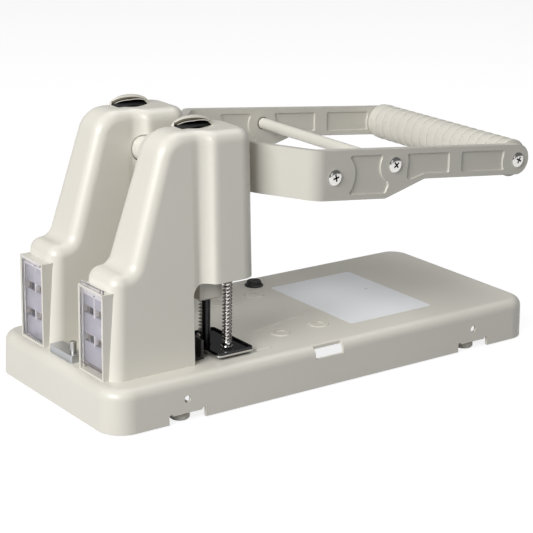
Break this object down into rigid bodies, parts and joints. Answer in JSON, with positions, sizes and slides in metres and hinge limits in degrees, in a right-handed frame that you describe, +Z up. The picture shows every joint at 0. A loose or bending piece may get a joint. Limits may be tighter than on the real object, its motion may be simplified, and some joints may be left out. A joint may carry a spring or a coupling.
{
  "type": "hole punch",
  "caption": "Heavy desk paper punch: pressed steel base, cast towers with chip bins at the rear, and a long forked lever that drives hollow cutters through a paper stack.",
  "frame": {"origin": "on the table under the middle of the base, on the plane of the rubber feet", "axes": "+Z up, +Y towards the towers at the rear, -Y towards the grip and the user, +X the user's right hand"},
  "size_m": [0.1668, 0.372, 0.1957],
  "materials": {
    "cream_paint": "smooth satin enamel",
    "arm_paint": "smooth satin enamel",
    "cast_grey": "as cast",
    "plain_steel": "turned",
    "dark_steel": "blackened",
    "spring_steel": "bright wire",
    "bright_nickel": "bright plated",
    "black_chrome": "black plated",
    "zinc_sheet": "zinc plated",
    "bush_brass": "turned",
    "black_rubber": "moulded",
    "beige_rubber": "moulded",
    "grip_sleeve": "moulded, ribbed",
    "black_plastic": "moulded",
    "bin_plastic": "moulded",
    "white_nylon": "turned",
    "clear_plastic": "clear"
  },
  "bodies": {
    "base": {"base_shell": "cream_paint", "feet": "beige_rubber", "die_plate": "plain_steel", "frame_screws": "plain_steel", "paper_stops": "black_plastic", "bumper": "black_rubber", "rear_bracket": "zinc_sheet", "bracket_stud": "plain_steel", "left_cutting_disc": "white_nylon", "right_cutting_disc": "white_nylon", "left_cover": "cream_paint", "right_cover": "cream_paint", "left_frame": "cast_grey", "right_frame": "cast_grey", "left_shaft_bushes": "bush_brass", "right_shaft_bushes": "bush_brass", "left_chip_bin": "bin_plastic", "right_chip_bin": "bin_plastic"},
    "lever": {"lever_shaft": "plain_steel", "lever_hub": "arm_paint", "hub_bolts": "plain_steel", "shaft_collars": "plain_steel", "rear_tie_rod": "cream_paint", "front_tie_rod": "cream_paint", "grip": "grip_sleeve", "grip_tube": "plain_steel", "arm_screws": "bright_nickel", "left_arm": "arm_paint", "right_arm": "arm_paint", "left_pinion": "plain_steel", "right_pinion": "plain_steel"},
    "left_punch": {"left_slide": "cream_paint", "left_cutter": "dark_steel", "left_set_screw": "dark_steel"},
    "right_punch": {"right_slide": "cream_paint", "right_cutter": "dark_steel", "right_set_screw": "dark_steel"},
    "left_presser": {"left_presser_plate": "black_chrome", "left_presser_rods": "bright_nickel", "left_presser_springs": "spring_steel"},
    "right_presser": {"right_presser_plate": "black_chrome", "right_presser_rods": "bright_nickel", "right_presser_springs": "spring_steel"},
    "left_window": {"left_bin_window": "clear_plastic"},
    "right_window": {"right_bin_window": "clear_plastic"}
  },
  "joints": [
    {"name": "lever_swing", "type": "hinge", "parent": "base", "child": "lever", "pos_m": [0, 0.096, 0.162], "axis": [-1, 0, 0], "range_deg": [0, 60]},
    {"name": "left_stroke", "type": "slide", "parent": "base", "child": "left_punch", "axis": [0, 0, 1], "range_m": [0, 0.0168]},
    {"name": "right_stroke", "type": "slide", "parent": "base", "child": "right_punch", "axis": [0, 0, 1], "range_m": [0, 0.0168]},
    {"name": "left_presser_travel", "type": "slide", "parent": "left_punch", "child": "left_presser", "axis": [0, 0, 1], "range_m": [-0.0056, 0], "deforming": ["left_presser_springs"]},
    {"name": "right_presser_travel", "type": "slide", "parent": "right_punch", "child": "right_presser", "axis": [0, 0, 1], "range_m": [-0.0056, 0], "deforming": ["right_presser_springs"]},
    {"name": "left_window_lift", "type": "slide", "parent": "base", "child": "left_window", "axis": [0, 0, 1], "range_m": [-0.003, 0.055]},
    {"name": "right_window_lift", "type": "slide", "parent": "base", "child": "right_window", "axis": [0, 0, 1], "range_m": [0, 0.055]}
  ],
  "couplings": [
    {"joint": "left_stroke", "follows": "lever_swing", "m_per_rad": 0.016},
    {"joint": "right_stroke", "follows": "lever_swing", "m_per_rad": 0.016},
    {"joint": "left_presser_travel", "follows": "lever_swing", "m_per_rad": -0.0053},
    {"joint": "right_presser_travel", "follows": "lever_swing", "m_per_rad": -0.0053}
  ]
}
